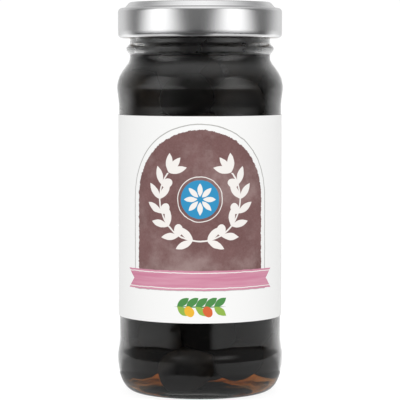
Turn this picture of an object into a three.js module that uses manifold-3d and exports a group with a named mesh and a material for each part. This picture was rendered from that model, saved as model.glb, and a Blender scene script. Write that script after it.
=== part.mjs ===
// A tall glass jar of black olives: a blown glass jar, a pressed metal twist-off lid, a wrap-around
// paper label and the heap of olives that fills the jar. Millimetres, +Z up. The jar stands on the
// bearing ring of its base, with the origin under the middle of the base and the front towards -Y.
import * as THREE from "three";
import { mergeVertices } from "three/addons/utils/BufferGeometryUtils.js";
import Module from "manifold-3d";

const wasm = await Module();
wasm.setup();

// Driving dimensions
const turns = 36; // facets round every turned piece
const curveSteps = 4; // straight steps along each curve of an outline, twice that on an arc
const overallHeight = 145.4; // floor to the crest of the lid
const jarDiameter = 62; // shoulder and heel, the two rings that stand proud of the label
const panelDiameter = 60.6; // the recessed panel that carries the label
const neckDiameter = 52.4;
const mouthDiameter = 47.4;
const cavityDiameter = 55.6; // inside of the body

const lidDiameter = 61.2; // across the skirt of a 58 mm twist-off lid
const lidBottom = 132.1;
const lidSheet = 0.4;
const lidGap = 0.3; // between the rim and the lid that closes it

const labelBottom = 28.6;
const labelTop = 103.6;
const labelGap = 0.1;
const labelSheet = 0.2;

const oliveLength = 19.5;
const oliveWidth = 15.4;
const oliveGap = 0.35; // between the heap and the glass
const oliveSides = 6; // round an olive
const oliveBands = 4; // from end to end of an olive

// Radii and heights of the glass
const jarRadius = jarDiameter / 2;
const panelRadius = panelDiameter / 2;
const neckRadius = neckDiameter / 2;
const mouthRadius = mouthDiameter / 2;
const cavityRadius = cavityDiameter / 2;
const bearingOuter = 24.3; // the flat ring that the jar stands on
const bearingInner = 19.8;
const pushUp = 2.6; // how far the middle of the base is domed up
const heelTop = 13.6;
const heelSpread = 4.2; // pull of the heel's curve out from the bearing ring
const heelRise = 7.8; // and down from the heel's top
const heelPanel = 21.5; // where the heel has eased into the label panel
const heelEase = 4.2; // pull of the curve at both ends of that stretch
const panelTop = 105;
const panelEase = 3.5;
const shoulderLow = 113.6;
const shoulderEase = 5.6;
const shoulderFall = 6; // pull of the curve from the shoulder to the neck
const shoulderTop = 124.6;
const neckEase = 2.7;
const beadMiddle = 128.1; // the ring below the lid
const beadHalf = 2.1;
const beadDepth = 1.5;
const rimHeight = overallHeight - lidSheet - lidGap;
const rimRound = (neckRadius - mouthRadius) / 2;
const floorEdge = 3; // the inside of the base
const floorEdgeRadius = 20;
const floorMiddle = 4.8;
const cavityHeelTop = 14.5;
const cavityShoulderLow = 109;
const cavityShoulderTop = 126;
const cavityShoulderEase = 9.4;

// Turned solids: points of (radius, height) that start and end on the axis, or close on themselves
function turned(points) {
  return new THREE.LatheGeometry(points, turns).rotateX(Math.PI / 2);
}

function solidFrom(geometry) {
  const bare = new THREE.BufferGeometry();
  bare.setAttribute("position", geometry.getAttribute("position"));
  bare.setIndex(geometry.index);
  const merged = mergeVertices(bare, 1e-4);
  const mesh = new wasm.Mesh({
    numProp: 3,
    vertProperties: merged.getAttribute("position").array,
    triVerts: new Uint32Array(merged.index.array),
  });
  return new wasm.Manifold(mesh);
}

function geometryFrom(solid) {
  const mesh = solid.getMesh();
  const geometry = new THREE.BufferGeometry();
  geometry.setAttribute("position", new THREE.BufferAttribute(mesh.vertProperties, 3));
  geometry.setIndex(new THREE.BufferAttribute(mesh.triVerts, 1));
  geometry.computeVertexNormals();
  return geometry;
}

// The inside of the jar, drawn from its mouth down to the middle of its floor, set in by a clearance
function drawCavity(outline, mouth, clearance) {
  const neck = mouthRadius - clearance;
  const body = cavityRadius - clearance;
  const floor = floorMiddle + clearance;
  outline.lineTo(neck, mouth);
  outline.lineTo(neck, cavityShoulderTop);
  outline.bezierCurveTo(
    neck, cavityShoulderTop - cavityShoulderEase,
    body, cavityShoulderLow + cavityShoulderEase,
    body, cavityShoulderLow,
  );
  outline.lineTo(body, cavityHeelTop);
  outline.absellipse(
    floorEdgeRadius, cavityHeelTop,
    body - floorEdgeRadius, cavityHeelTop - floorEdge - clearance,
    0, -Math.PI / 2, true,
  );
  outline.quadraticCurveTo(floorEdgeRadius / 2, floor, 0, floor);
}

// Glass jar: domed base, rounded heel, recessed label panel, shoulder, bead and plain rim
function jarPoints() {
  const outline = new THREE.Path();
  outline.moveTo(0, pushUp);
  outline.quadraticCurveTo(bearingInner / 2, pushUp, bearingInner, 0);
  outline.lineTo(bearingOuter, 0);
  outline.bezierCurveTo(
    bearingOuter + heelSpread, 0,
    jarRadius, heelTop - heelRise,
    jarRadius, heelTop,
  );
  outline.bezierCurveTo(
    jarRadius, heelTop + heelEase,
    panelRadius, heelPanel - heelEase,
    panelRadius, heelPanel,
  );
  outline.lineTo(panelRadius, panelTop);
  outline.bezierCurveTo(
    panelRadius, panelTop + panelEase,
    jarRadius, shoulderLow - shoulderEase,
    jarRadius, shoulderLow,
  );
  outline.bezierCurveTo(
    jarRadius, shoulderLow + shoulderFall,
    neckRadius, shoulderTop - neckEase,
    neckRadius, shoulderTop,
  );
  outline.lineTo(neckRadius, beadMiddle - beadHalf);
  outline.absellipse(neckRadius, beadMiddle, beadDepth, beadHalf, -Math.PI / 2, Math.PI / 2);
  outline.lineTo(neckRadius, rimHeight - rimRound);
  outline.absarc(neckRadius - rimRound, rimHeight - rimRound, rimRound, 0, Math.PI);
  drawCavity(outline, rimHeight - rimRound, 0);
  return outline.getPoints(curveSteps);
}

// Twist-off lid: curled skirt, raised sealing ring and a lowered panel with a sunk button
function lidPoints() {
  const lidRadius = lidDiameter / 2;
  const cornerRound = 1.5;
  const corner = lidRadius - cornerRound;
  const ledge = overallHeight - 2.2; // the step between the skirt and the sealing ring
  const ringFoot = 28.8;
  const ringCrest = 25.6;
  const ringEase = 1.5; // pull of the slope between the two
  const ringInner = 24.6;
  const ringSet = lidSheet / 2; // how far the slope's underside is set in
  const panelEdge = 22.8;
  const panel = overallHeight - 1.3;
  const buttonOuter = 10;
  const buttonInner = 9;
  const button = panel - 0.5;
  const curlHalfWidth = 1.3;
  const curlHalfHeight = 2.2;
  const curlMiddle = lidBottom + curlHalfHeight;
  const curlTop = curlMiddle + curlHalfHeight;

  const outline = new THREE.Path();
  outline.moveTo(0, button - lidSheet);
  outline.lineTo(buttonInner, button - lidSheet);
  outline.lineTo(buttonOuter, panel - lidSheet);
  outline.lineTo(panelEdge, panel - lidSheet);
  outline.lineTo(ringInner, overallHeight - lidSheet);
  outline.lineTo(ringCrest - ringSet, overallHeight - lidSheet);
  outline.bezierCurveTo(
    ringCrest - ringSet + ringEase, overallHeight - lidSheet,
    ringFoot - ringSet - ringEase, ledge - lidSheet,
    ringFoot - ringSet, ledge - lidSheet,
  );
  outline.lineTo(corner, ledge - lidSheet);
  outline.lineTo(lidRadius - lidSheet, ledge - cornerRound);
  outline.lineTo(lidRadius - lidSheet, curlTop);
  outline.lineTo(lidRadius - 2 * curlHalfWidth, curlMiddle);
  outline.absellipse(
    lidRadius - curlHalfWidth, curlMiddle,
    curlHalfWidth, curlHalfHeight,
    Math.PI, 2 * Math.PI,
  );
  outline.lineTo(lidRadius, ledge - cornerRound);
  outline.quadraticCurveTo(lidRadius, ledge, corner, ledge);
  outline.lineTo(ringFoot, ledge);
  outline.bezierCurveTo(
    ringFoot - ringEase, ledge,
    ringCrest + ringEase, overallHeight,
    ringCrest, overallHeight,
  );
  outline.lineTo(ringInner, overallHeight);
  outline.lineTo(panelEdge, panel);
  outline.lineTo(buttonOuter, panel);
  outline.lineTo(buttonInner, button);
  outline.lineTo(0, button);
  return outline.getPoints(curveSteps);
}

// Paper label: one sheet wrapped round the panel
function labelPoints() {
  const inner = panelRadius + labelGap;
  const outer = inner + labelSheet;
  const outline = new THREE.Path();
  outline.moveTo(inner, labelBottom);
  outline.lineTo(outer, labelBottom);
  outline.lineTo(outer, labelTop);
  outline.lineTo(inner, labelTop);
  outline.lineTo(inner, labelBottom);
  return outline.getPoints();
}

// How the olives lie: rings against the glass, each turned half a step from the one below
const firstLayer = 12.2; // height of the lowest olives' middles
const layerPitch = 12.2;
const bodyLayers = 9;
const bodyOlives = 7;
const frontTurn = -0.28; // radians from the front to the lowest ring's first olive
const shoulderLayer = 121.4; // one ring where the shoulder closes in
const shoulderReach = 25.4; // radius of the cavity there
const shoulderOlives = 5;
const neckLayer = 132.5; // one more ring in the neck
const neckOlives = 5;
const coreRadius = 18.5;
const neckCoreRadius = 12;
const spread = { size: 0.1, tilt: 1.1, turn: 0.7, height: 3, angle: 0.3 };
const goldenShare = 0.6180339887; // step of the even, non-repeating draws
const streamShift = 0.893;

// An even draw from -0.5 to 0.5 for one olive; each kind of draw has its own stream
function draw(olive, stream) {
  const share = (olive + 1) * (stream + 1) * goldenShare + stream * streamShift;
  return share - Math.floor(share) - 0.5;
}

// One olive: its long axis starts level along the wall and is then tilted and turned
function oliveSolid(olive, angle, height, reach) {
  const size = 1 + spread.size * draw(olive, 0);
  const halfLength = (size * oliveLength) / 2;
  const halfWidth = (size * oliveWidth) / 2;
  const tilt = spread.tilt * draw(olive, 1);
  const turn = spread.turn * draw(olive, 2);
  const depth = Math.hypot(halfLength * Math.sin(turn), halfWidth * Math.cos(turn));
  const shape = new THREE.SphereGeometry(1, oliveSides, oliveBands).rotateZ(Math.PI / 2);
  shape.scale(halfLength, halfWidth, halfWidth);
  shape.rotateY(tilt).rotateZ(turn);
  shape.translate(0, oliveGap + depth - reach, height + spread.height * draw(olive, 3));
  return solidFrom(shape.rotateZ(angle));
}

function oliveRing(first, count, height, reach, startAngle) {
  const ring = [];
  for (let i = 0; i < count; i++) {
    const olive = first + i;
    const angle = startAngle + ((i + spread.angle * draw(olive, 4)) / count) * 2 * Math.PI;
    ring.push(oliveSolid(olive, angle, height, reach));
  }
  return ring;
}

function allOlives() {
  const olives = [];
  for (let layer = 0; layer < bodyLayers; layer++) {
    const height = firstLayer + layer * layerPitch;
    const startAngle = frontTurn + ((layer % 2) * Math.PI) / bodyOlives;
    olives.push(...oliveRing(layer * bodyOlives, bodyOlives, height, cavityRadius, startAngle));
  }
  const body = bodyLayers * bodyOlives;
  olives.push(...oliveRing(body, shoulderOlives, shoulderLayer, shoulderReach, frontTurn));
  olives.push(...oliveRing(body + shoulderOlives, neckOlives, neckLayer, mouthRadius, 0));
  return olives;
}

// The heap: a plain core with the olives that lie against the glass fused on, cut clear of the glass
function heapSolid() {
  const core = new THREE.Path();
  core.moveTo(0, firstLayer);
  core.lineTo(coreRadius, firstLayer);
  core.lineTo(coreRadius, shoulderLayer);
  core.lineTo(neckCoreRadius, neckLayer);
  core.lineTo(0, neckLayer);

  const room = new THREE.Path();
  room.moveTo(0, rimHeight);
  drawCavity(room, rimHeight, oliveGap);

  let heap = solidFrom(turned(core.getPoints()));
  for (const olive of allOlives()) heap = heap.add(olive);
  heap = heap.intersect(solidFrom(turned(room.getPoints(curveSteps).reverse())));
  // The outer skin alone, which fills the gaps that the olives close off
  const skins = heap.decompose();
  return skins.reduce((largest, skin) => (skin.volume() > largest.volume() ? skin : largest));
}

const clearGlass = new THREE.MeshStandardMaterial({
  color: 0xe3e8e6,
  roughness: 0.05,
  metalness: 0,
  transparent: true,
  opacity: 0.3,
});
const tinplate = new THREE.MeshStandardMaterial({ color: 0xc8c8ca, roughness: 0.3, metalness: 1 });
const paper = new THREE.MeshStandardMaterial({ color: 0xf3f2ef, roughness: 0.6, metalness: 0 });
const oliveSkin = new THREE.MeshStandardMaterial({ color: 0x1f1b1c, roughness: 0.4, metalness: 0 });

function named(name, geometry, material) {
  const mesh = new THREE.Mesh(geometry, material);
  mesh.name = name;
  return mesh;
}

const jar = new THREE.Group();
jar.add(named("jar_glass", turned(jarPoints()), clearGlass));
jar.add(named("lid", turned(lidPoints()), tinplate));
jar.add(named("label", turned(labelPoints()), paper));
jar.add(named("olives", geometryFrom(heapSolid()), oliveSkin));

export default jar;
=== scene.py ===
import math

import bmesh
import bpy
from mathutils import Matrix, Vector, noise
from mathutils.geometry import interpolate_bezier


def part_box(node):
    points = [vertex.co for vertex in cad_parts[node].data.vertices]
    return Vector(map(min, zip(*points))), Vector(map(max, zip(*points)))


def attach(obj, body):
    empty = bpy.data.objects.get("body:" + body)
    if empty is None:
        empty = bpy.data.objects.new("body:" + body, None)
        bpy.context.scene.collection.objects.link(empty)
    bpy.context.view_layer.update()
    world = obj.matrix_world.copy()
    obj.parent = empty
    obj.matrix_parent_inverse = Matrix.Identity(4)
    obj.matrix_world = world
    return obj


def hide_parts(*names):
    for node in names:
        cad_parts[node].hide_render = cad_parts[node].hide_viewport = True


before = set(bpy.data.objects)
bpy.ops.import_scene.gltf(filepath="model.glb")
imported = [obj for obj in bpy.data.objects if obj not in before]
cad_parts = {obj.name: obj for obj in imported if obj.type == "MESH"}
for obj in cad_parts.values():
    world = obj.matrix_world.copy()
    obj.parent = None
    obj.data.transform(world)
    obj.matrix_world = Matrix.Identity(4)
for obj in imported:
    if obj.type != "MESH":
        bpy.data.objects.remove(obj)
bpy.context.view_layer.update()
mm = 0.001  # outlines are (radius, height) in millimetres
close = 1e-5  # metres, for places that should be the same
scene = bpy.context.scene
scene.view_settings.view_transform = "Standard"
print("frame loaded:", ", ".join(sorted(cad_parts)))


# sizes that come from the CAD nodes, in millimetres
def cadCorners(node):
    low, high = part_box(node)
    return low / mm, high / mm


glassHigh = cadCorners("jar_glass")[1]
lidLow, lidHigh = cadCorners("lid")
labelLow, labelHigh = cadCorners("label")


# outlines and turned pieces
def bend(start, pullStart, pullEnd, end, steps=10):  # a smooth stretch of an outline
    corners = [Vector((r, 0, z)) for r, z in (start, pullStart, pullEnd, end)]
    return [(p.x, p.z) for p in interpolate_bezier(*corners, steps + 1)]


def arc(middle, halfWidth, halfHeight, fromTurn, toTurn, steps=12):  # part of an ellipse, in degrees
    turns = [math.radians(fromTurn + (toTurn - fromTurn) * i / steps) for i in range(steps + 1)]
    return [(middle[0] + halfWidth * math.cos(t), middle[1] + halfHeight * math.sin(t)) for t in turns]


def drawOutline(bm, outline):
    verts = [bm.verts.new((r * mm, 0, z * mm)) for r, z in outline]
    return verts + [bm.edges.new(pair) for pair in zip(verts, verts[1:])]


def turned(outline, steps):  # full turn about the jar's axis, poles and seam closed
    bm = bmesh.new()
    line = drawOutline(bm, outline)
    bmesh.ops.spin(bm, geom=line, cent=(0, 0, 0), axis=(0, 0, 1), angle=math.tau, steps=steps, use_merge=True)
    bmesh.ops.remove_doubles(bm, verts=bm.verts, dist=1e-6)
    bmesh.ops.dissolve_degenerate(bm, edges=bm.edges, dist=1e-7)
    bmesh.ops.recalc_face_normals(bm, faces=bm.faces)
    return bm


def finishPiece(name, bm, slot, *materials):
    mesh = bpy.data.meshes.new(name)
    bm.to_mesh(mesh)
    bm.free()
    mesh.shade_smooth()
    for material in materials:
        mesh.materials.append(material)
    piece = bpy.data.objects.new(name, mesh)
    scene.collection.objects.link(piece)
    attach(piece, "root")
    return piece


# small node helpers
def inkColour(red, green, blue):  # 0 to 255 as on a colour picker, to the shader's linear colour
    shares = [c / 255 for c in (red, green, blue)]
    return [s / 12.92 if s <= 0.04045 else ((s + 0.055) / 1.055) ** 2.4 for s in shares] + [1.0]


def newMaterial(name):
    material = bpy.data.materials.new(name)
    material.use_nodes = True
    tree = material.node_tree
    return material, tree, tree.nodes["Principled BSDF"]


def setInputs(tree, node, values):
    for name, value in values.items():
        if isinstance(value, bpy.types.NodeSocket):
            tree.links.new(value, node.inputs[name])
        else:
            node.inputs[name].default_value = value


def addNode(tree, kind, values=None, **settings):
    node = tree.nodes.new(kind)
    for name, value in settings.items():
        setattr(node, name, value)
    setInputs(tree, node, values or {})
    return node


def calc(tree, operation, *values, clamp=False):
    node = addNode(tree, "ShaderNodeMath", operation=operation, use_clamp=clamp)
    setInputs(tree, node, dict(enumerate(values)))
    return node.outputs[0]


def layColour(tree, share, under, over):  # over on under, by share
    node = addNode(tree, "ShaderNodeMix", data_type="RGBA")
    setInputs(tree, node, {0: share, 6: under, 7: over})
    return node.outputs[2]


def objectPlace(tree):
    return addNode(tree, "ShaderNodeTexCoord").outputs["Object"]


def grain(tree, place, scale, detail=2.0, roughness=0.5):  # 0 to 1 noise, scale in waves per metre
    values = {"Vector": place, "Scale": scale, "Detail": detail, "Roughness": roughness}
    return addNode(tree, "ShaderNodeTexNoise", values).outputs["Fac"]


def spreadTo(tree, share, low, high):  # 0 to 1 noise spread over low to high
    return addNode(tree, "ShaderNodeMapRange", {"Value": share, "To Min": low, "To Max": high}).outputs[0]


def easeIn(tree, value, low, high):  # 0 below low, 1 above high, smooth between
    values = {"Value": value, "From Min": low, "From Max": high}
    return addNode(tree, "ShaderNodeMapRange", values, interpolation_type="SMOOTHSTEP").outputs[0]


def bumpFrom(tree, height, strength, distance):
    values = {"Height": height, "Strength": strength, "Distance": distance}
    return addNode(tree, "ShaderNodeBump", values).outputs["Normal"]


# camera, fitted to the lid's, label's and base's curves
cameraView = {"distance": 786.0, "eyeHeight": 122.1, "tiltDown": 3.686, "lens": 188.9, "sensor": 36}


def addCamera(view):
    data = bpy.data.cameras.new("photoCamera")
    data.lens = view["lens"]
    data.sensor_width = view["sensor"]
    camera = bpy.data.objects.new("photoCamera", data)
    camera.location = Vector((0, -view["distance"], view["eyeHeight"])) * mm
    camera.rotation_euler = (math.radians(90 - view["tiltDown"]), 0, 0)
    scene.collection.objects.link(camera)
    scene.camera = camera


addCamera(cameraView)
print("camera set")


# glass jar and how far it is filled
brineFill = {"level": 126.6, "intoWall": 0.12, "meniscus": 0.9, "meniscusWidth": 2.5, "spinSteps": 96}
glassShape = {
    "jar": glassHigh.x, "panel": 30.3, "neck": 26.2, "mouth": 23.7, "cavity": 27.8, "rim": glassHigh.z,
    "bearingOuter": 24.3, "bearingInner": 19.8, "bearingRound": 2.3, "pushUp": 2.6,
    "heelSpread": 4.2, "heelRise": 7.8, "floorFacing": 0.5,
    "heelTop": 13.6, "heelBend": 2.0, "heelPanel": 20.6, "heelEase": 4.2, "panelTop": 106.6, "panelEase": 1.2,
    "shoulderLow": 113.6, "shoulderEase": 1.6, "shoulderFall": 6.0, "shoulderTop": 124.6, "neckEase": 2.7,
    "bead": 27.6, "beadMiddle": 128.0, "beadHalf": 2.5, "beadEase": 0.9,
    "floorEdge": 3.0, "floorEdgeRadius": 20.0, "floorMiddle": 4.8, "floorEase": 6.0,
    "cavityHeelTop": 14.5, "cavityShoulderLow": 109.0, "cavityShoulderTop": 126.0, "cavityShoulderEase": 9.4,
    "knurlDepth": 0.14, "spinSteps": 144,
}


def cavityOutline(shape, top, outset=0.0):  # the inside, from the top down to the middle of the floor
    neck, body, floor = shape["mouth"] + outset, shape["cavity"] + outset, shape["floorMiddle"] - outset
    low, high, ease = shape["cavityShoulderLow"], shape["cavityShoulderTop"], shape["cavityShoulderEase"]
    edge, heel = shape["floorEdgeRadius"], shape["cavityHeelTop"]
    rise = heel - shape["floorEdge"] + outset
    outline = [(neck, top)]
    outline += bend((neck, high), (neck, high - ease), (body, low + ease), (body, low), 16)
    outline += arc((edge, heel), body - edge, rise, 0, -90, 16)
    outline += bend((edge, heel - rise), (edge - shape["floorEase"], heel - rise),
                    (shape["floorEase"], floor), (0, floor), 10)[1:]
    return outline


def jarOutline(shape):
    jar, panel, neck, bead = shape["jar"], shape["panel"], shape["neck"], shape["bead"]
    inner, outer, rounding = shape["bearingInner"], shape["bearingOuter"], shape["bearingRound"]
    heel, heelEnd, heelEase = shape["heelTop"], shape["heelPanel"], shape["heelEase"]
    top, low, high = shape["panelTop"], shape["shoulderLow"], shape["shoulderTop"]
    middle, half, ease = shape["beadMiddle"], shape["beadHalf"], shape["beadEase"]
    rimRound = (neck - shape["mouth"]) / 2
    rimMiddle = shape["rim"] - rimRound
    outline = bend((0, shape["pushUp"]), (inner / 2, shape["pushUp"]), (inner - rounding, 0), (inner, 0))
    outline += [((inner + outer) / 2, 0)]
    outline += bend((outer, 0), (outer + shape["heelSpread"], 0),
                    (jar, heel - shape["heelRise"]), (jar, heel), 24)
    outline += bend((jar, heel), (jar, heel + shape["heelBend"]),
                    (panel, heelEnd - heelEase), (panel, heelEnd), 14)[1:]
    outline += bend((panel, top), (panel, top + shape["panelEase"]),
                    (jar, low - shape["shoulderEase"]), (jar, low), 14)
    outline += bend((jar, low), (jar, low + shape["shoulderFall"]),
                    (neck, high - shape["neckEase"]), (neck, high), 18)[1:]
    outline += bend((neck, middle - half), (neck, middle - half + ease),
                    (bead, middle - ease), (bead, middle))
    outline += bend((bead, middle), (bead, middle + ease),
                    (neck, middle + half - ease), (neck, middle + half))[1:]
    outline += arc((neck - rimRound, rimMiddle), rimRound, rimRound, 0, 180)
    return outline + cavityOutline(shape, rimMiddle)[1:]


def knurlBase(bm, shape):  # every second spoke of the bearing ring is lifted, as on a moulded base
    step = math.tau / shape["spinSteps"]
    middle = (shape["bearingInner"] + shape["bearingOuter"]) / 2 * mm
    for vert in bm.verts:
        reach = math.hypot(vert.co.x, vert.co.y)
        if vert.co.z < close and abs(reach - middle) < close:
            spoke = round(math.atan2(vert.co.y, vert.co.x) / step)
            vert.co.z += shape["knurlDepth"] * mm * (spoke % 2)


def glassMaterial(name, shine, blur):
    material, tree, shader = newMaterial(name)
    place = objectPlace(tree)
    ripple = bumpFrom(tree, grain(tree, place, 70, 1.0), 0.3, 0.0015)
    smudge = spreadTo(tree, grain(tree, place, 160, 4.0), 0.0, blur)
    setInputs(tree, shader, {
        "Base Color": (0.975, 0.985, 0.98, 1), "Roughness": smudge, "IOR": 1.5, "Transmission Weight": 1.0,
        "Specular Tint": (shine, shine, shine, 1), "Normal": ripple,
    })
    return material


def buildGlass(shape, fill):
    bm = turned(jarOutline(shape), shape["spinSteps"])
    surface = fill["level"] * mm
    bmesh.ops.bisect_plane(bm, geom=bm.verts[:] + bm.edges[:] + bm.faces[:],
                           plane_co=(0, 0, surface), plane_no=(0, 0, 1))
    knurlBase(bm, shape)
    for face in bm.faces:
        centre = face.calc_center_median()
        outward = face.normal.x * centre.x + face.normal.y * centre.y
        onFloor = face.normal.z > shape["floorFacing"] and centre.z < shape["cavityHeelTop"] * mm
        if (outward < 0 or onFloor) and centre.to_2d().length < shape["cavity"] * mm + close:
            face.material_index = 1 if centre.z < surface else 2  # wetted by the brine, or damp above it
    piece = finishPiece("jarGlass", bm, "clear_glass", glassMaterial("flintGlass", 1.0, 0.035),
                        glassMaterial("wettedGlass", 0.12, 0.035), glassMaterial("dampGlass", 1.0, 0.9))
    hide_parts("jar_glass")


buildGlass(glassShape, brineFill)
print("glass jar turned")


# twist-off lid
lidShape = {
    "radius": lidHigh.x, "top": lidHigh.z, "bottom": lidLow.z, "sheet": 0.4, "cornerRound": 1.5,
    "ledgeDrop": 2.2, "ringFoot": 28.8, "ringCrest": 25.6, "ringEase": 1.5, "ringInner": 24.6,
    "panelEdge": 22.4, "panelDrop": 1.3, "buttonOuter": 11.0, "buttonInner": 8.6, "buttonDrop": 0.5,
    "stepEase": 1.0, "curlHalfWidth": 1.3, "curlHalfHeight": 1.6, "curlInside": (75, 180),
    "curlOutside": (190, 352), "tuck": 0.04, "tuckRise": 2.8, "tuckRound": 0.25, "tuckLeft": 0.1,
    "skirtStop": 1.0, "lugs": 4, "lugReach": 1.1, "lugWidth": 11.0, "lugTurn": 0.3, "facing": 0.3,
    "spinSteps": 160,
}


def lidTopOutline(shape, drop):  # from the axis out to the ledge, lowered by the sheet for the underside
    top, panel = shape["top"] - drop, shape["top"] - shape["panelDrop"] - drop
    button, ledge = panel - shape["buttonDrop"], shape["top"] - shape["ledgeDrop"] - drop
    crest, foot, ease, step = shape["ringCrest"], shape["ringFoot"], shape["ringEase"], shape["stepEase"]
    outline = [(0, button)]
    outline += bend((shape["buttonInner"], button), (shape["buttonInner"] + step, button),
                    (shape["buttonOuter"] - step, panel), (shape["buttonOuter"], panel), 6)
    outline += bend((shape["panelEdge"], panel), (shape["panelEdge"] + step, panel),
                    (shape["ringInner"] - step, top), (shape["ringInner"], top), 8)
    return outline + bend((crest, top), (crest + ease, top), (foot - ease, ledge), (foot, ledge), 12)


def lidOutline(shape):
    radius, sheet, rounding = shape["radius"], shape["sheet"], shape["cornerRound"]
    ledge = shape["top"] - shape["ledgeDrop"]
    corner = (radius - rounding, ledge - rounding)
    waist, tuckTop = radius - shape["tuck"], shape["bottom"] + shape["tuckRise"]
    curl = (waist - shape["curlHalfWidth"], shape["bottom"] + shape["curlHalfHeight"])
    tuckRound = shape["tuckRound"]
    outline = lidTopOutline(shape, sheet)
    outline += arc(corner, rounding - sheet, rounding - sheet, 90, 0, 5)
    outline += [(radius - sheet, tuckTop + shape["skirtStop"])]
    outline += arc(curl, shape["curlHalfWidth"] - sheet / 2, shape["curlHalfHeight"], *shape["curlInside"], 6)
    outline += arc(curl, shape["curlHalfWidth"], shape["curlHalfHeight"], *shape["curlOutside"], 14)
    outline += bend((radius - shape["tuckLeft"] * shape["tuck"], tuckTop - tuckRound), (radius, tuckTop),
                    (radius, tuckTop), (radius, tuckTop + tuckRound), 3)
    outline += arc(corner, rounding, rounding, 0, 90, 8)
    return outline + lidTopOutline(shape, 0)[::-1]


def pressLugs(bm, shape):  # the curl is pressed in at the lugs that grip the thread
    span = math.radians(shape["lugWidth"])
    middle = (shape["radius"] - shape["curlHalfWidth"]) * mm
    for vert in bm.verts:
        reach = math.hypot(vert.co.x, vert.co.y)
        if vert.co.z / mm < shape["bottom"] + 2 * shape["curlHalfHeight"] and reach < middle:
            turn = (math.atan2(vert.co.y, vert.co.x) * shape["lugs"] / math.tau + shape["lugTurn"]) % 1 - 0.5
            away = abs(turn) * math.tau / shape["lugs"] / span
            push = max(0.0, 1 - away * away) ** 2 * shape["lugReach"] * mm * min(1, (middle - reach) / mm)
            vert.co.xy *= (reach - push) / reach


def lidMaterial():
    material, tree, shader = newMaterial("silverLacquer")
    place = objectPlace(tree)
    cloud = grain(tree, place, 120, 3.0)
    fleck = grain(tree, place, 4200, 2.0, 0.7)
    tone = layColour(tree, cloud, (0.70, 0.70, 0.705, 1), (0.75, 0.75, 0.755, 1))
    setInputs(tree, shader, {
        "Base Color": tone, "Metallic": 1.0, "Roughness": spreadTo(tree, cloud, 0.2, 0.25),
        "Specular Tint": (0.7, 0.7, 0.7, 1), "Normal": bumpFrom(tree, fleck, 0.05, 0.0002),
    })
    return material


def lacquerAndCurlShadeMaterial():  # brown coat of the inside; the same darker metal on the curl's underside is painted shade
    material, tree, shader = newMaterial("innerLacquerAndCurlShade")
    cloud = grain(tree, objectPlace(tree), 400, 3.0)
    setInputs(tree, shader, {
        "Base Color": layColour(tree, cloud, (0.44, 0.39, 0.35, 1), (0.50, 0.45, 0.41, 1)), "Metallic": 1.0,
        "Roughness": spreadTo(tree, cloud, 0.3, 0.4), "Specular Tint": (0.5, 0.5, 0.5, 1),
    })
    return material


def buildLid(shape):
    bm = turned(lidOutline(shape), shape["spinSteps"])
    pressLugs(bm, shape)
    for face in bm.faces:
        centre = face.calc_center_median()
        outward = face.normal.x * centre.x + face.normal.y * centre.y
        aboveCurl = centre.z > (shape["bottom"] + 2 * shape["curlHalfHeight"]) * mm
        underside = face.normal.z < -shape["facing"] and aboveCurl
        # inward faces, the lower inner side of the curl among them, take the darker coat: real inside
        # lacquer, and painted shade along the curl's underside
        if underside or (outward < 0 and face.normal.z < shape["facing"]):
            face.material_index = 1
    piece = finishPiece("twistLid", bm, "silver_lid", lidMaterial(), lacquerAndCurlShadeMaterial())
    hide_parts("lid")


buildLid(lidShape)
print("lid pressed")


# wrap-around label
labelSheet = {
    "inner": 30.4, "outer": 30.55, "bottom": labelLow.z, "top": labelHigh.z,
    "seam": 146.0, "overlap": 7.0, "flapLift": 0.17, "flapSpan": 1.5, "flapRise": 3, "foldAngle": 40,
    "spinSteps": 184,
}
labelPrint = {  # a generic print: places in millimetres round the label from its front and up from its foot
    "paper": inkColour(249, 249, 248), "keyline": inkColour(186, 185, 182), "cream": inkColour(246, 242, 238),
    "wash": inkColour(129, 95, 94), "deepWash": inkColour(110, 77, 76), "paleWash": inkColour(178, 157, 154),
    "pink": inkColour(208, 134, 160), "palePink": inkColour(223, 166, 185), "blue": inkColour(58, 150, 198),
    "green": inkColour(84, 146, 82), "freshGreen": inkColour(150, 186, 84),
    "amber": inkColour(242, 188, 64), "rust": inkColour(220, 108, 66),
    "wobble": 0.5, "softness": 0.12, "brushEdge": 1.5, "seamReach": 95.97,
    "panelHalf": 25.0, "panelFoot": 14.0, "panelSpring": 45.0, "keylineGap": 2.1, "keylineHalf": 0.2,
    "ribbonMiddle": 15.5, "ribbonHalf": 3.6, "ribbonReach": 31.0, "ribbonNotch": 3.2, "ribbonLine": 2.8,
    "wreathMiddle": 45.0, "wreathReach": 15.2, "wreathOpening": 9.5, "wreathNodes": 7, "wreathStart": 10.0,
    "wreathStep": 20.0, "stemHalf": 0.28, "leafHalf": 3.5, "leafWide": 1.3, "leafLean": 36.0,
    "fruitHalf": 2.1, "fruitWide": 1.65, "sealReach": 7.0, "sealRing": 8.2, "lineHalf": 0.16,
    "sealPetals": 8, "petalStart": 1.0, "petalHalf": 2.4, "petalWide": 0.95,
    "sprigMiddle": 6.0, "sprigHalf": 9.5, "sprigLeaves": 5, "sprigStep": 3.4, "sprigStart": 0.3,
    "sprigScale": 0.8, "fruitDroop": 1.6,
    "tableHalf": 22.0, "tableFoot": 14.0, "tableTop": 62.0, "tableHead": 7.0, "tableRows": 5,
}


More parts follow.
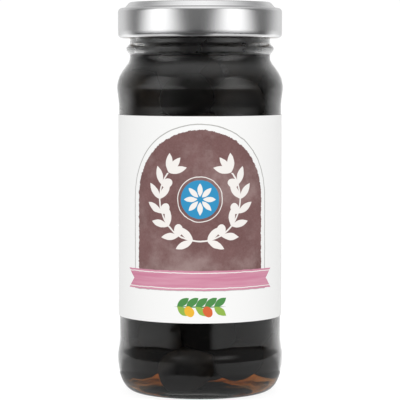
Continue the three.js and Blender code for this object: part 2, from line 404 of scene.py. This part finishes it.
def leafGroup(softness):  # a leaf or fruit print: 1 inside, 0 outside
    group = bpy.data.node_groups.new("leafPrint", "ShaderNodeTree")
    for name in ("U", "V", "centreU", "centreV", "turnCos", "turnSin", "half", "wide", "round"):
        group.interface.new_socket(name, in_out="INPUT", socket_type="NodeSocketFloat")
    group.interface.new_socket("share", in_out="OUTPUT", socket_type="NodeSocketFloat")
    source = group.nodes.new("NodeGroupInput").outputs
    u = calc(group, "SUBTRACT", source["U"], source["centreU"])
    v = calc(group, "SUBTRACT", source["V"], source["centreV"])
    along = calc(group, "ADD", calc(group, "MULTIPLY", u, source["turnCos"]),
                 calc(group, "MULTIPLY", v, source["turnSin"]))
    across = calc(group, "SUBTRACT", calc(group, "MULTIPLY", v, source["turnCos"]),
                  calc(group, "MULTIPLY", u, source["turnSin"]))
    ratio = calc(group, "DIVIDE", along, source["half"])
    left = calc(group, "SUBTRACT", 1.0, calc(group, "MULTIPLY", ratio, ratio))
    bulge = calc(group, "POWER", calc(group, "MAXIMUM", left, 0.0), source["round"])
    edge = calc(group, "SUBTRACT", calc(group, "MULTIPLY", source["wide"], bulge),
                calc(group, "ABSOLUTE", across))
    share = calc(group, "MULTIPLY_ADD", edge, 1 / softness, 0.5, clamp=True)
    inside = calc(group, "MULTIPLY", share, calc(group, "GREATER_THAN", left, 0.0))
    sink = group.nodes.new("NodeGroupOutput")
    group.links.new(inside, sink.inputs["share"])
    return group


def leafMark(base, turn, half, wide):  # a pointed leaf that grows from its base
    centre = (base[0] + half * math.cos(turn), base[1] + half * math.sin(turn))
    return {"centreU": centre[0], "centreV": centre[1], "turnCos": math.cos(turn), "turnSin": math.sin(turn),
            "half": half, "wide": wide, "round": 1.0}


def fruitMark(base, turn, half, wide):
    return leafMark(base, turn, half, wide) | {"round": 0.5}


def joined(tree, shares):  # printed where any of them is
    whole = shares[0]
    for share in shares[1:]:
        whole = calc(tree, "MAXIMUM", whole, share)
    return whole


def printMarks(tree, group, u, v, marks):
    shares = []
    for mark in marks:
        node = tree.nodes.new("ShaderNodeGroup")
        node.node_tree = group
        setInputs(tree, node, {"U": u, "V": v} | mark)
        shares.append(node.outputs["share"])
    return joined(tree, shares)


def wreathMarks(ink):  # two branches that rise from the foot, with leaves outside and leaves or fruit inside
    marks = []
    lean = math.radians(ink["leafLean"])
    for side in (-1, 1):
        for i in range(ink["wreathNodes"]):
            turn = math.radians(-90 + side * (ink["wreathStart"] + i * ink["wreathStep"]))
            base = (ink["wreathReach"] * math.cos(turn),
                    ink["wreathMiddle"] + ink["wreathReach"] * math.sin(turn))
            outside, inside = turn + side * (math.pi / 2 - lean), turn + side * (math.pi / 2 + lean)
            marks.append(leafMark(base, outside, ink["leafHalf"], ink["leafWide"]))
            if i % 2:
                marks.append(fruitMark(base, inside + side * lean / 2, ink["fruitHalf"], ink["fruitWide"]))
            else:
                marks.append(leafMark(base, inside, ink["leafHalf"], ink["leafWide"]))
        marks.append(leafMark(base, turn + side * math.pi / 2, ink["leafHalf"], ink["leafWide"]))
    return marks


def sealMarks(ink):  # a rosette of petals
    turns = [math.tau * i / ink["sealPetals"] for i in range(ink["sealPetals"])]
    start = ink["petalStart"]
    return [leafMark((start * math.cos(turn), ink["wreathMiddle"] + start * math.sin(turn)), turn,
                     ink["petalHalf"], ink["petalWide"]) for turn in turns]


def sprigMarks(ink):  # a level twig with leaves on both sides, and its fruit
    middle, step, count = ink["sprigMiddle"], ink["sprigStep"], ink["sprigLeaves"]
    starts = [(-ink["sprigHalf"] + (i + ink["sprigStart"]) * step, middle) for i in range(count)]
    lean = math.radians(ink["leafLean"])
    half = ink["leafHalf"] * ink["sprigScale"]
    upper = [leafMark(start, lean, half, ink["leafWide"]) for start in starts]
    lower = [leafMark(start, -lean, half, ink["leafWide"]) for start in starts[::2]]
    twig = leafMark((-ink["sprigHalf"], middle), 0.0, ink["sprigHalf"], ink["stemHalf"])
    droop = -lean * ink["fruitDroop"]
    fruit = [fruitMark(start, droop, ink["fruitHalf"], ink["fruitWide"]) for start in starts[1::2]]
    return upper + [twig], lower, fruit


def lengthOf(tree, u, v):
    return calc(tree, "SQRT", calc(tree, "ADD", calc(tree, "MULTIPLY", u, u), calc(tree, "MULTIPLY", v, v)))


def lineAt(tree, value, middle, half):  # signed distance to a line of even width
    return calc(tree, "SUBTRACT", calc(tree, "ABSOLUTE", calc(tree, "SUBTRACT", value, middle)), half)


def insideOf(tree, distance, ink):  # signed distance in millimetres to a printed share
    return calc(tree, "MULTIPLY_ADD", distance, -1 / ink["softness"], 0.5, clamp=True)


def panelDistance(tree, u, v, ink):  # an arched panel
    over = calc(tree, "MAXIMUM", calc(tree, "SUBTRACT", v, ink["panelSpring"]), 0.0)
    side = calc(tree, "SUBTRACT", lengthOf(tree, u, over), ink["panelHalf"])
    return calc(tree, "MAXIMUM", side, calc(tree, "SUBTRACT", ink["panelFoot"], v))


def ribbonDistance(tree, u, v, ink):  # a level ribbon with notched ends
    away = calc(tree, "ABSOLUTE", calc(tree, "SUBTRACT", v, ink["ribbonMiddle"]))
    notch = calc(tree, "MULTIPLY_ADD", away, -ink["ribbonNotch"] / ink["ribbonHalf"], ink["ribbonNotch"])
    end = calc(tree, "ADD", calc(tree, "SUBTRACT", calc(tree, "ABSOLUTE", u), ink["ribbonReach"]), notch)
    return calc(tree, "MAXIMUM", calc(tree, "SUBTRACT", away, ink["ribbonHalf"]), end)


def tablePrint(tree, u, v, ink):  # an empty ruled table at the back: its lines and its head
    away = calc(tree, "SUBTRACT", ink["seamReach"], calc(tree, "ABSOLUTE", u))
    side = calc(tree, "SUBTRACT", away, ink["tableHalf"])
    foot, top = ink["tableFoot"], ink["tableTop"]
    within = calc(tree, "MAXIMUM", side, lineAt(tree, v, (foot + top) / 2, (top - foot) / 2))
    head = calc(tree, "MAXIMUM", side, lineAt(tree, v, top - ink["tableHead"] / 2, ink["tableHead"] / 2))
    rowHeight = (top - ink["tableHead"] - foot) / ink["tableRows"]
    lines = [lineAt(tree, within, 0.0, ink["lineHalf"])]
    for row in range(1, ink["tableRows"]):
        rule = lineAt(tree, v, foot + row * rowHeight, ink["lineHalf"])
        lines.append(calc(tree, "MAXIMUM", rule, within))
    return joined(tree, [insideOf(tree, line, ink) for line in lines]), insideOf(tree, head, ink)


def washColour(tree, place, ink):  # uneven watercolour with pale blooms and specks of bare paper
    blotch = grain(tree, place, 42, 6.0, 0.62)
    cloud = grain(tree, place, 130, 4.0, 0.6)
    speck = grain(tree, place, 1500, 2.0)
    washed = layColour(tree, spreadTo(tree, cloud, -0.5, 1.5), ink["deepWash"], ink["wash"])
    bloom = calc(tree, "MULTIPLY", easeIn(tree, blotch, 0.48, 0.72), 0.6)
    washed = layColour(tree, bloom, washed, ink["paleWash"])
    return layColour(tree, spreadTo(tree, speck, -0.05, 0.2), washed, ink["paleWash"])


def labelMaterial(sheet, ink):
    material, tree, shader = newMaterial("printedPaper")
    place = objectPlace(tree)
    axes = addNode(tree, "ShaderNodeSeparateXYZ", {"Vector": place}).outputs
    turn = calc(tree, "ARCTAN2", axes["X"], calc(tree, "MULTIPLY", axes["Y"], -1.0))
    flatU = calc(tree, "MULTIPLY", turn, sheet["outer"])
    flatV = calc(tree, "MULTIPLY_ADD", axes["Z"], 1 / mm, -sheet["bottom"])
    shake = calc(tree, "MULTIPLY_ADD", grain(tree, place, 350, 3.0), ink["wobble"], -ink["wobble"] / 2)
    u, v = calc(tree, "ADD", flatU, shake), calc(tree, "ADD", flatV, shake)
    group = leafGroup(ink["softness"])
    washed = washColour(tree, place, ink)
    panel = panelDistance(tree, u, v, ink)
    colour = layColour(tree, insideOf(tree, lineAt(tree, panel, ink["keylineGap"], ink["keylineHalf"]), ink),
                       ink["paper"], ink["keyline"])
    ragged = calc(tree, "MULTIPLY_ADD", grain(tree, place, 800, 4.0, 0.7),
                  ink["brushEdge"], -ink["brushEdge"] / 2)
    colour = layColour(tree, insideOf(tree, calc(tree, "ADD", panel, ragged), ink), colour, washed)
    ring = lengthOf(tree, u, calc(tree, "SUBTRACT", v, ink["wreathMiddle"]))
    opening = calc(tree, "SUBTRACT", v, ink["wreathMiddle"] + ink["wreathOpening"])
    stem = calc(tree, "MAXIMUM", lineAt(tree, ring, ink["wreathReach"], ink["stemHalf"]), opening)
    creamParts = [printMarks(tree, group, u, v, wreathMarks(ink)), insideOf(tree, stem, ink),
                  insideOf(tree, lineAt(tree, ring, ink["sealRing"], ink["lineHalf"]), ink)]
    colour = layColour(tree, joined(tree, creamParts), colour, ink["cream"])
    seal = insideOf(tree, calc(tree, "SUBTRACT", ring, ink["sealReach"]), ink)
    colour = layColour(tree, seal, colour, ink["blue"])
    colour = layColour(tree, printMarks(tree, group, u, v, sealMarks(ink)), colour, ink["cream"])
    ribbon = insideOf(tree, ribbonDistance(tree, u, v, ink), ink)
    streak = addNode(tree, "ShaderNodeMapping", {"Vector": place, "Scale": (60, 60, 900)}).outputs[0]
    stroke = spreadTo(tree, grain(tree, streak, 1.0, 3.0), -0.6, 1.2)
    brushed = layColour(tree, stroke, ink["pink"], ink["palePink"])
    colour = layColour(tree, ribbon, colour, brushed)
    away = calc(tree, "ABSOLUTE", calc(tree, "SUBTRACT", v, ink["ribbonMiddle"]))
    edging = insideOf(tree, lineAt(tree, away, ink["ribbonLine"], ink["lineHalf"]), ink)
    colour = layColour(tree, calc(tree, "MULTIPLY", edging, ribbon), colour, ink["cream"])
    upper, lower, fruit = sprigMarks(ink)
    sprig = ((upper, "green"), (lower, "freshGreen"), (fruit[:1], "amber"), (fruit[1:], "rust"))
    for marks, inkName in sprig:
        colour = layColour(tree, printMarks(tree, group, u, v, marks), colour, ink[inkName])
    lines, head = tablePrint(tree, u, v, ink)
    colour = layColour(tree, lines, colour, ink["keyline"])
    colour = layColour(tree, head, colour, washed)
    fibre = grain(tree, place, 2600, 3.0)
    setInputs(tree, shader, {
        "Base Color": colour, "Roughness": spreadTo(tree, fibre, 0.5, 0.65), "Specular IOR Level": 0.06,
        "Normal": bumpFrom(tree, fibre, 0.08, 0.0002),
    })
    return material


def buildLabel(sheet, ink):
    bm = bmesh.new()
    inner, outer, bottom, top = sheet["inner"], sheet["outer"], sheet["bottom"], sheet["top"]
    line = drawOutline(bm, [(inner, bottom), (outer, bottom), (outer, top), (inner, top)])
    corners = line[:4]
    line.append(bm.edges.new((corners[3], corners[0])))
    start = Matrix.Rotation(math.radians(sheet["seam"]), 4, "Z")
    bmesh.ops.transform(bm, matrix=start, verts=corners)
    bmesh.ops.spin(bm, geom=line, cent=(0, 0, 0), axis=(0, 0, 1), steps=sheet["spinSteps"],
                   angle=math.tau + math.radians(sheet["overlap"]))
    bmesh.ops.holes_fill(bm, edges=[e for e in bm.edges if e.is_boundary], sides=4)
    bmesh.ops.recalc_face_normals(bm, faces=bm.faces)
    bm.verts.ensure_lookup_table()
    overlap = sheet["overlap"] / (360 + sheet["overlap"])
    flap = sheet["spinSteps"] * overlap * sheet["flapSpan"]  # steps that ride over the start
    for i, vert in enumerate(bm.verts):
        share = min(1.0, max(0.0, (i // 4 - sheet["spinSteps"] + flap) / flap * sheet["flapRise"]))
        reach = math.hypot(vert.co.x, vert.co.y)
        vert.co.xy *= 1 + share * sheet["flapLift"] * mm / reach
    for edge in bm.edges:
        edge.smooth = edge.calc_face_angle(0.0) < math.radians(sheet["foldAngle"])
    piece = finishPiece("paperLabel", bm, "label_paper", labelMaterial(sheet, ink))
    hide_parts("label")


buildLabel(labelSheet, labelPrint)
print("label wrapped and printed")


# olives, in rings against the glass with more inside them
oliveShape = {
    "length": 19.5, "width": 15.4, "hole": 0.17, "holeDepth": 0.4, "holeTaper": 0.8, "holeMiddle": 0.95,
    "holeEdge": 0.97, "holeTop": 0.9, "lip": 1.25, "lipTop": 0.965, "lipTurn": 1.25, "sideSteps": 16,
    "blunt": 0.92, "squat": 0.99, "tail": 0.975, "lump": 0.05, "lumpScale": 1.4, "wrinkle": 0.012,
    "wrinkleScale": 6, "kindShift": (7.3, 2.1, 4.7), "kinds": 6, "spinSteps": 22,
}
oliveHeap = {
    "gap": 0.35, "firstLayer": 12.2, "pitch": 12.2, "layers": 9, "perLayer": 7, "frontTurn": -0.28,
    "shoulderLayer": 121.4, "shoulderReach": 25.4, "shoulderCount": 5,
    "neckLayer": 132.5, "neckCount": 5, "innerCount": 3, "innerReach": 16.5,
    "size": 0.1, "tilt": 1.1, "turn": 0.7, "height": 3.0, "angle": 0.3, "lean": 2.6,
    "innerTurn": 1.1, "goldenShare": 0.6180339887, "streamShift": 0.893,
    "streams": {"size": 0, "tilt": 1, "turn": 2, "height": 3, "angle": 4, "ends": 5, "tone": 24},
}


def evenDraw(olive, use):  # -0.5 to 0.5, the same draws as the solid heap
    stream = oliveHeap["streams"][use]
    share = (olive + 1) * (stream + 1) * oliveHeap["goldenShare"] + stream * oliveHeap["streamShift"]
    return share - math.floor(share) - 0.5


def oliveMesh(shape, kind):  # one pitted olive of unit half sizes, its long axis along Z
    hole, depth, lip, steps = shape["hole"], shape["holeDepth"], shape["lip"], shape["sideSteps"]
    outline = [(0, shape["holeMiddle"] - depth), (hole * shape["holeTaper"], shape["holeEdge"] - depth),
               (hole, shape["holeTop"]), (hole * lip, shape["lipTop"])]
    first = math.asin(hole * lip) * shape["lipTurn"]
    for i in range(steps + 1):
        turn = first + (math.pi - first) * i / steps
        outline.append((max(0.0, math.sin(turn)) ** shape["blunt"], math.cos(turn) * shape["squat"]))
    outline[-1] = (0, -shape["tail"])
    bm = turned([(r / mm, z / mm) for r, z in outline], shape["spinSteps"])
    shift = Vector([step * kind for step in shape["kindShift"]])
    for vert in bm.verts:
        swell = shape["lump"] * noise.noise(vert.co * shape["lumpScale"] + shift)
        crease = shape["wrinkle"] * noise.noise(vert.co * shape["wrinkleScale"] + shift)
        vert.co *= 1 + swell + crease
    mesh = bpy.data.meshes.new("oliveKind")
    bm.to_mesh(mesh)
    bm.free()
    return mesh


def olivePlace(olive, angle, height, reach):
    heap, shape = oliveHeap, oliveShape
    size = 1 + heap["size"] * evenDraw(olive, "size")
    halfLength, halfWidth = size * shape["length"] / 2, size * shape["width"] / 2
    tilt, turn = heap["tilt"] * evenDraw(olive, "tilt"), heap["turn"] * evenDraw(olive, "turn")
    depth = math.hypot(halfLength * math.sin(turn), halfWidth * math.cos(turn))
    up = height + heap["height"] * evenDraw(olive, "height")
    ends = math.pi / 2 if evenDraw(olive, "ends") > 0 else -math.pi / 2
    return (Matrix.Scale(mm, 4) @ Matrix.Rotation(angle, 4, "Z")
            @ Matrix.Translation((0, heap["gap"] + depth - reach, up))
            @ Matrix.Rotation(turn, 4, "Z") @ Matrix.Rotation(tilt, 4, "Y") @ Matrix.Rotation(ends, 4, "Y")
            @ Matrix.Diagonal((halfWidth, halfWidth, halfLength, 1)))


def ringPlaces(first, count, height, reach, start, lean=0.0):  # lean lifts the right side
    places = []
    for i in range(count):
        olive = first + i
        angle = start + (i + oliveHeap["angle"] * evenDraw(olive, "angle")) / count * math.tau
        places.append(olivePlace(olive, angle, height + lean * max(0.0, math.sin(angle)), reach))
    return places


def heapPlaces(heap):
    places = []
    for layer in range(heap["layers"]):
        height = heap["firstLayer"] + layer * heap["pitch"]
        start = heap["frontTurn"] + (layer % 2) * math.pi / heap["perLayer"]
        lean = 0.0 if layer else heap["lean"]
        first = layer * heap["perLayer"]
        places += ringPlaces(first, heap["perLayer"], height, glassShape["cavity"], start, lean)
    outer = heap["layers"] * heap["perLayer"]
    places += ringPlaces(outer, heap["shoulderCount"], heap["shoulderLayer"], heap["shoulderReach"],
                         heap["frontTurn"])
    neck = outer + heap["shoulderCount"]
    places += ringPlaces(neck, heap["neckCount"], heap["neckLayer"], glassShape["mouth"], 0.0)
    for layer in range(heap["layers"]):
        height = heap["firstLayer"] + (layer + 0.5) * heap["pitch"]
        first = neck + heap["neckCount"] + layer * heap["innerCount"]
        places += ringPlaces(first, heap["innerCount"], height, heap["innerReach"],
                             layer * heap["innerTurn"])
    return places


def pressAgainstGlass(bm, shape, gap):  # flattens what would reach into the wall or the floor
    wall = cavityOutline(shape, shape["rim"])
    leastRoom = 1.0
    for vert in bm.verts:
        height, reach = vert.co.z / mm, math.hypot(vert.co.x, vert.co.y) / mm
        for (upperR, upperZ), (lowerR, lowerZ) in zip(wall, wall[1:]):
            if lowerZ <= height <= upperZ and upperZ > lowerZ:
                room = lowerR + (upperR - lowerR) * (height - lowerZ) / (upperZ - lowerZ) - gap
                if reach > room:
                    vert.co.xy *= max(room, leastRoom) / reach
                break
        vert.co.z = max(vert.co.z, (shape["floorEdge"] + gap) * mm)


def oliveMaterial():
    material, tree, shader = newMaterial("oliveSkin")
    place = objectPlace(tree)
    cloud = grain(tree, place, 90, 3.0)
    pore = grain(tree, place, 1300, 2.0, 0.6)
    tone = addNode(tree, "ShaderNodeAttribute", attribute_name="tone").outputs["Fac"]
    skin = layColour(tree, spreadTo(tree, cloud, -0.3, 1.3), inkColour(24, 23, 23), inkColour(43, 41, 41))
    skin = layColour(tree, tone, skin, inkColour(98, 97, 101))
    speck = calc(tree, "GREATER_THAN", pore, 0.69)
    skin = layColour(tree, calc(tree, "MULTIPLY", speck, 0.12), skin, inkColour(96, 84, 78))
    setInputs(tree, shader, {
        "Base Color": skin, "Roughness": spreadTo(tree, cloud, 0.3, 0.45), "Specular IOR Level": 0.0,
        "Normal": bumpFrom(tree, pore, 0.15, 0.0003),
    })
    return material


def buildOlives(shape, heap):
    kinds = [oliveMesh(shape, kind) for kind in range(shape["kinds"])]
    bm = bmesh.new()
    bm.verts.layers.float.new("tone")
    for i, place in enumerate(heapPlaces(heap)):
        first = len(bm.verts)
        bm.from_mesh(kinds[i % shape["kinds"]])
        bm.verts.ensure_lookup_table()
        bmesh.ops.transform(bm, matrix=place, verts=bm.verts[first:])
        tone = bm.verts.layers.float["tone"]
        for vert in bm.verts[first:]:
            vert[tone] = (evenDraw(i, "tone") + 0.5) ** 2
    pressAgainstGlass(bm, glassShape, heap["gap"])
    for mesh in kinds:
        bpy.data.meshes.remove(mesh)
    piece = finishPiece("oliveHeap", bm, "olive_skin", oliveMaterial())
    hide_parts("olives")


buildOlives(oliveShape, oliveHeap)
print("olives heaped")


# brine, reaching a little into the glass so that no air shows between them
def brineMaterial():
    material, tree, shader = newMaterial("darkBrine")
    haze = spreadTo(tree, grain(tree, objectPlace(tree), 200, 2.0), 0.0, 0.02)
    setInputs(tree, shader, {
        "Base Color": (1, 1, 1, 1), "Roughness": haze, "IOR": 1.34, "Transmission Weight": 1.0,
        "Specular Tint": (0.12, 0.12, 0.12, 1),
    })
    steep = addNode(tree, "ShaderNodeVolumeAbsorption", {"Color": (0.68, 0.455, 0.13, 1), "Density": 130.0})
    tree.links.new(steep.outputs["Volume"], tree.nodes["Material Output"].inputs["Volume"])
    return material


def buildBrine(fill):
    wall = glassShape["mouth"] + fill["intoWall"]
    edge = (wall, fill["level"] + fill["meniscus"])
    inside = (wall - fill["meniscusWidth"], fill["level"])
    surface = bend((0, fill["level"]), (wall / 2, fill["level"]), inside, edge, 12)
    outline = surface + cavityOutline(glassShape, fill["level"], fill["intoWall"])[1:]
    finishPiece("brine", turned(outline, fill["spinSteps"]), "clear_glass", brineMaterial())


buildBrine(brineFill)
print("brine poured")


# studio: a pale floor, white surroundings, two tall soft boxes and lit parts of the floor
softBoxes = {  # turn from the front in degrees, distances and heights in metres
    "leftBox": {"turn": -57, "away": 0.36, "wide": 0.69, "low": 0.078, "high": 0.45, "glow": 1.5, "edge": 0.2,
                "narrow": 0.42, "narrowFrom": 0.15, "narrowTo": 0.2},
    "rightBox": {"turn": 47, "away": 0.36, "wide": 0.66, "low": 0.078, "high": 0.45, "glow": 1.5, "edge": 0.2,
                "narrow": 0.42, "narrowFrom": 0.15, "narrowTo": 0.2},
}
floorFans = {  # fade in from the first turn, with one glow near the jar and one far from it
    "leftFan": {"near": 0.05, "far": 0.33, "fromTurn": -22.0, "toTurn": -112.0, "fade": 26.0, "lift": 0.6,
                "nearGlow": 0.7, "farGlow": 0.8, "nearEnd": 0.06, "farStart": 0.17},
    "rightFan": {"near": 0.05, "far": 0.33, "fromTurn": 10.0, "toTurn": 112.0, "fade": 12.0, "lift": 0.6,
                 "nearGlow": 0.7, "farGlow": 0.82, "nearEnd": 0.06, "farStart": 0.17},
    "backFan": {"near": 0.05, "far": 7.0, "fromTurn": 95.0, "toTurn": 265.0, "fade": 34.0, "lift": 0.4,
                "nearGlow": 1.45, "farGlow": 1.1, "nearEnd": 0.3, "farStart": 1.2},
    "nearFan": {"near": 0.025, "far": 0.052, "fromTurn": 0.0, "toTurn": 360.0, "fade": 0.1, "lift": 0.2,
                "nearGlow": 0.55, "farGlow": 0.55, "nearEnd": 0.03, "farStart": 0.05},
}
studioRoom = {  # heights as shares of the radius
    "radius": 8.0, "white": 1.03, "under": 0.06, "dim": 0.2, "dimFrom": -0.03, "dimTo": 0.02,
    "over": 1.15, "overPower": 4.0, "back": 0.9, "backFrom": 98.0, "backFade": 55.0,
    "backLow": -0.05, "backFull": 0.0, "backHigh": 0.3, "backEnd": 0.75, "air": 0.82,
}
paleFloor = {"radius": 7.9, "drop": 0.0005, "pale": 0.2, "glow": 0.9}
frontFill = {"size": 0.8, "power": 4.2, "away": 1.4, "height": 0.18, "aim": 0.07}


def hideFrom(thing, *kinds):  # ray kinds that do not see a studio piece
    for kind in kinds:
        setattr(thing, "visible_" + kind, False)


def glowMaterial(name, glow):  # glow is a strength or the share that a shader works out
    material, tree, shader = newMaterial(name)
    strength = glow(tree) if callable(glow) else glow
    setInputs(tree, shader, {"Base Color": (0, 0, 0, 1), "Specular IOR Level": 0.0,
                             "Emission Color": (1, 1, 1, 1), "Emission Strength": strength})
    material.cycles.emission_sampling = "NONE"
    return material


def addStage(name, bm, material, *hidden):
    bmesh.ops.recalc_face_normals(bm, faces=bm.faces)
    mesh = bpy.data.meshes.new(name)
    bm.to_mesh(mesh)
    bm.free()
    mesh.shade_smooth()
    mesh.materials.append(material)
    thing = bpy.data.objects.new(name, mesh)
    scene.collection.objects.link(thing)
    hideFrom(thing, *hidden)
    return thing


def turnFromFront(tree, axes):  # in radians, either way
    return calc(tree, "ABSOLUTE", calc(tree, "ARCTAN2", axes["X"], calc(tree, "MULTIPLY", axes["Y"], -1.0)))


def addRoom(room):  # white for the camera; for glass and lid dim, dark below, light above and behind
    def skyGlow(tree):
        axes = addNode(tree, "ShaderNodeSeparateXYZ", {"Vector": objectPlace(tree)}).outputs
        rise = calc(tree, "MULTIPLY", axes["Z"], 1 / room["radius"])
        level = calc(tree, "MULTIPLY_ADD", easeIn(tree, rise, room["dimFrom"], room["dimTo"]),
                     room["dim"] - room["under"], room["under"])
        above = calc(tree, "POWER", calc(tree, "MAXIMUM", rise, 0.0), room["overPower"])
        level = calc(tree, "MULTIPLY_ADD", above, room["over"], level)
        behind = easeIn(tree, turnFromFront(tree, axes), math.radians(room["backFrom"]),
                        math.radians(room["backFrom"] + room["backFade"]))
        low = calc(tree, "SUBTRACT", 1.0, easeIn(tree, rise, room["backHigh"], room["backEnd"]))
        band = calc(tree, "MULTIPLY", low, easeIn(tree, rise, room["backLow"], room["backFull"]))
        return calc(tree, "MULTIPLY_ADD", calc(tree, "MULTIPLY", behind, band), room["back"], level)

    domes = {"whiteDome": (room["white"], ("glossy", "transmission")), "dimDome": (skyGlow, ("camera",))}
    for name, (glow, hidden) in domes.items():
        bm = bmesh.new()
        bmesh.ops.create_icosphere(bm, subdivisions=4, radius=room["radius"])
        addStage(name, bm, glowMaterial(name, glow), "diffuse", "shadow", *hidden)


def addFloor(floor):  # plain and pale, for the camera alone
    material, tree, shader = newMaterial("paleFloor")
    pale = floor["pale"]
    setInputs(tree, shader, {"Base Color": (pale, pale, pale, 1), "Roughness": 0.9, "Specular IOR Level": 0.0,
                             "Emission Color": (1, 1, 1, 1), "Emission Strength": floor["glow"]})
    material.cycles.emission_sampling = "NONE"
    bm = bmesh.new()
    bmesh.ops.create_circle(bm, cap_ends=True, segments=96, radius=floor["radius"])
    bmesh.ops.translate(bm, vec=(0, 0, -floor["drop"]), verts=bm.verts)
    addStage("paleFloor", bm, material, "diffuse", "glossy", "transmission", "shadow")


def addBox(name, card, dim):  # an upright soft box that faces the jar and fades towards its edges
    wide, tall, middle = card["wide"], card["high"] - card["low"], (card["low"] + card["high"]) / 2

    def cardGlow(tree):
        axes = addNode(tree, "ShaderNodeSeparateXYZ", {"Vector": objectPlace(tree)}).outputs
        height = calc(tree, "ADD", axes["Y"], middle)
        narrow = calc(tree, "MULTIPLY_ADD", easeIn(tree, height, card["narrowFrom"], card["narrowTo"]),
                      card["narrow"], 1.0)
        across = calc(tree, "MULTIPLY", calc(tree, "ABSOLUTE", axes["X"]), narrow)
        inset = [calc(tree, "MULTIPLY_ADD", across, -2 / wide, 1.0),
                 calc(tree, "MULTIPLY_ADD", calc(tree, "ABSOLUTE", axes["Y"]), -2 / tall, 1.0)]
        share = calc(tree, "MULTIPLY", easeIn(tree, inset[0], 0.0, 1.0),
                     easeIn(tree, inset[1], 0.0, card["edge"]))
        return calc(tree, "MULTIPLY_ADD", share, card["glow"], dim)

    bm = bmesh.new()
    bmesh.ops.create_grid(bm, x_segments=1, y_segments=1, size=0.5)
    bmesh.ops.scale(bm, vec=(wide, tall, 1), verts=bm.verts)
    thing = addStage(name, bm, glowMaterial(name, cardGlow), "camera", "diffuse", "shadow")
    turn = math.radians(card["turn"])
    thing.location = (card["away"] * math.sin(turn), -card["away"] * math.cos(turn), middle)
    thing.rotation_euler = (math.pi / 2, 0, turn)


def addFan(name, fan, *hidden):
    start, end = fan["fromTurn"], fan["toTurn"]

    def fanGlow(tree):
        axes = addNode(tree, "ShaderNodeSeparateXYZ", {"Vector": objectPlace(tree)}).outputs
        share = easeIn(tree, turnFromFront(tree, axes), math.radians(abs(start)),
                       math.radians(abs(start) + fan["fade"]))
        reach = addNode(tree, "ShaderNodeVectorMath", {0: objectPlace(tree)}, operation="LENGTH")
        beyond = easeIn(tree, reach.outputs["Value"], fan["nearEnd"], fan["farStart"])
        glow = calc(tree, "MULTIPLY_ADD", beyond, fan["farGlow"] - fan["nearGlow"], fan["nearGlow"])
        return calc(tree, "MULTIPLY", share, glow)

    bm = bmesh.new()
    ends = [bm.verts.new((0, -reach, fan["lift"] * mm)) for reach in (fan["near"], fan["far"])]
    edge = bm.edges.new(ends)
    bmesh.ops.rotate(bm, verts=ends, matrix=Matrix.Rotation(math.radians(start), 3, "Z"))
    bmesh.ops.spin(bm, geom=ends + [edge], cent=(0, 0, 0), axis=(0, 0, 1),
                   angle=math.radians(end - start), steps=24)
    addStage(name, bm, glowMaterial(name, fanGlow), "camera", "diffuse", "shadow", *hidden)


def addFill(fill):
    data = bpy.data.lights.new("frontFill", "AREA")
    data.size, data.energy = fill["size"], fill["power"]
    lamp = bpy.data.objects.new("frontFill", data)
    lamp.location = (0, -fill["away"], fill["height"])
    lamp.rotation_euler = (Vector((0, 0, fill["aim"])) - lamp.location).to_track_quat("-Z", "Y").to_euler()
    scene.collection.objects.link(lamp)
    hideFrom(lamp, "camera", "glossy", "transmission")


def setWorld(glow):  # soft light from all round on what is not glossy
    world = bpy.data.worlds.new("studioAir")
    scene.world = world
    world.use_nodes = True
    setInputs(world.node_tree, world.node_tree.nodes["Background"], {"Color": (1, 1, 1, 1), "Strength": glow})
    for kind in ("camera", "glossy", "transmission"):
        setattr(world.cycles_visibility, kind, False)


addRoom(studioRoom)
addFloor(paleFloor)
for boxName, boxValues in softBoxes.items():
    addBox(boxName, boxValues, studioRoom["dim"])
addFan("leftFan", floorFans["leftFan"], "transmission")
addFan("rightFan", floorFans["rightFan"], "transmission")
addFan("backFan", floorFans["backFan"])
addFan("nearFan", floorFans["nearFan"], "transmission")
addFill(frontFill)
setWorld(studioRoom["air"])
print("studio lit")
